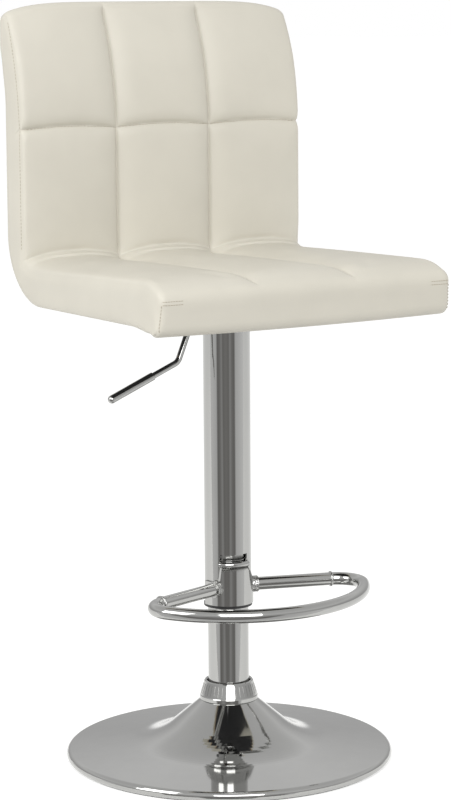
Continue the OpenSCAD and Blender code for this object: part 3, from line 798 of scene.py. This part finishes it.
VIEW_AZIMUTH = math.radians(-32)
CAMERA_DISTANCE = 3.083
CAMERA_HEIGHT = 0.920
CAMERA_PITCH = math.radians(8.81)
CAMERA_YAW = math.radians(0.03)
CAMERA_ROLL = math.radians(-0.39)
LENS = 116.2
# Brightness round the horizon, by how far a direction points towards the camera, and above it, by height.
DIM_SIDE = ((0.0, 1.0), (0.66, 0.76), (0.74, 0.24), (0.86, 0.30), (0.93, 0.44), (0.965, 0.26), (1.0, 0.33))
UPPER_WALLS = ((0.02, 0.80), (0.08, 0.56), (0.20, 0.60), (0.45, 0.90), (0.60, 0.80), (1.0, 0.70))


def make_camera():
    """The photograph's viewpoint: from the sitter's front right, looking a little down."""
    camera = link(bpy.data.objects.new("camera", bpy.data.cameras.new("camera")))
    camera.data.lens = LENS
    camera.data.sensor_width = 36
    heading = VIEW_AZIMUTH + CAMERA_YAW
    flat = Vector((-math.sin(heading), math.cos(heading), 0))
    forward = flat * math.cos(CAMERA_PITCH) - Vector((0, 0, math.sin(CAMERA_PITCH)))
    right = forward.cross(Vector((0, 0, 1))).normalized()
    up = right.cross(forward)
    roll_right = right * math.cos(CAMERA_ROLL) + up * math.sin(CAMERA_ROLL)
    roll_up = up * math.cos(CAMERA_ROLL) - right * math.sin(CAMERA_ROLL)
    toward = Vector((math.sin(VIEW_AZIMUTH), -math.cos(VIEW_AZIMUTH), 0))
    place = toward * CAMERA_DISTANCE + Vector((0, 0, CAMERA_HEIGHT))
    turn = Matrix((roll_right, roll_up, -forward)).transposed().to_4x4()
    camera.matrix_world = Matrix.Translation(place) @ turn
    bpy.context.scene.camera = camera


def make_floor():
    """Plain pale floor that ends just in front of the base, where the studio's dim side begins."""
    front = cad_high.x + 6 * MM
    side = 30.0
    back = 60.0
    colour = (0.60, 0.60, 0.59)
    material, tree, shader = new_material("pale_floor", colour, 0.9)
    shader.inputs["Emission Color"].default_value = (1, 1, 1, 1)
    shader.inputs["Emission Strength"].default_value = 0.56
    vary_colour(tree, shader, noise(tree, 0.8, 2), shade(colour, 0.99), colour)
    shader.inputs["Specular IOR Level"].default_value = 0.1
    mesh = bpy.data.meshes.new("floor")
    corners = [(-side, -front, 0), (side, -front, 0), (side, back, 0), (-side, back, 0)]
    mesh.from_pydata(corners, [], [(0, 1, 2, 3)])
    mesh.materials.append(material)
    floor = link(bpy.data.objects.new("floor", mesh))
    floor.rotation_euler.z = VIEW_AZIMUTH


def ramp(tree, value, stops):
    """A colour ramp through (place, brightness) stops, slightly warm where it is dark."""
    node = tree.nodes.new("ShaderNodeValToRGB")
    elements = node.color_ramp.elements
    while len(elements) < len(stops):
        elements.new(0.5)
    for element, (place, light) in zip(elements, stops):
        warm = 1 - 0.22 * max(0, 0.5 - light)
        element.position = place
        element.color = (light, light * (1 + warm) / 2, light * warm, 1)
    tree.links.new(value, node.inputs["Fac"])
    return node.outputs["Color"]


def make_world():
    """Soft pale studio: a bright ceiling, grey upper walls and a dim side behind the camera."""
    world = bpy.data.worlds.new("studio")
    bpy.context.scene.world = world
    world.use_nodes = True
    tree = world.node_tree
    background = tree.nodes["Background"]
    direction = tree.nodes.new("ShaderNodeTexCoord").outputs["Generated"]
    dim_heading = VIEW_AZIMUTH - math.radians(5)
    toward = tree.nodes.new("ShaderNodeVectorMath")
    toward.operation = "DOT_PRODUCT"
    toward.inputs[1].default_value = (math.sin(dim_heading), -math.cos(dim_heading), 0)
    tree.links.new(direction, toward.inputs[0])
    walls = ramp(tree, toward.outputs["Value"], DIM_SIDE)
    parts = tree.nodes.new("ShaderNodeSeparateXYZ")
    tree.links.new(direction, parts.inputs[0])
    upper = ramp(tree, parts.outputs["Z"], UPPER_WALLS)
    mix = tree.nodes.new("ShaderNodeMix")
    mix.data_type = "RGBA"
    rise = tree.nodes.new("ShaderNodeMapRange")
    rise.inputs["From Min"].default_value = 0.0
    rise.inputs["From Max"].default_value = 0.04
    tree.links.new(parts.outputs["Z"], rise.inputs["Value"])
    tree.links.new(rise.outputs["Result"], mix.inputs[0])
    tree.links.new(walls, mix.inputs[6])
    tree.links.new(upper, mix.inputs[7])
    tree.links.new(mix.outputs[2], background.inputs["Color"])
    background.inputs["Strength"].default_value = 1.0


def area_light(name, azimuth, height, distance, size, power):
    """Soft square light aimed at the seat."""
    data = bpy.data.lights.new(name, "AREA")
    data.size = size
    data.energy = power
    light = link(bpy.data.objects.new(name, data))
    a = math.radians(azimuth)
    light.location = (math.sin(a) * distance, -math.cos(a) * distance, height)
    aim = Vector((0, 0, 0.55)) - light.location
    light.rotation_mode = "QUATERNION"
    light.rotation_quaternion = aim.to_track_quat("-Z", "Y")


make_camera()
make_floor()
make_world()
area_light("key", azimuth=-85, height=1.9, distance=2.8, size=1.6, power=37)
area_light("front", azimuth=-25, height=2.1, distance=3.4, size=2.2, power=84)
bpy.context.scene.view_settings.view_transform = "Standard"
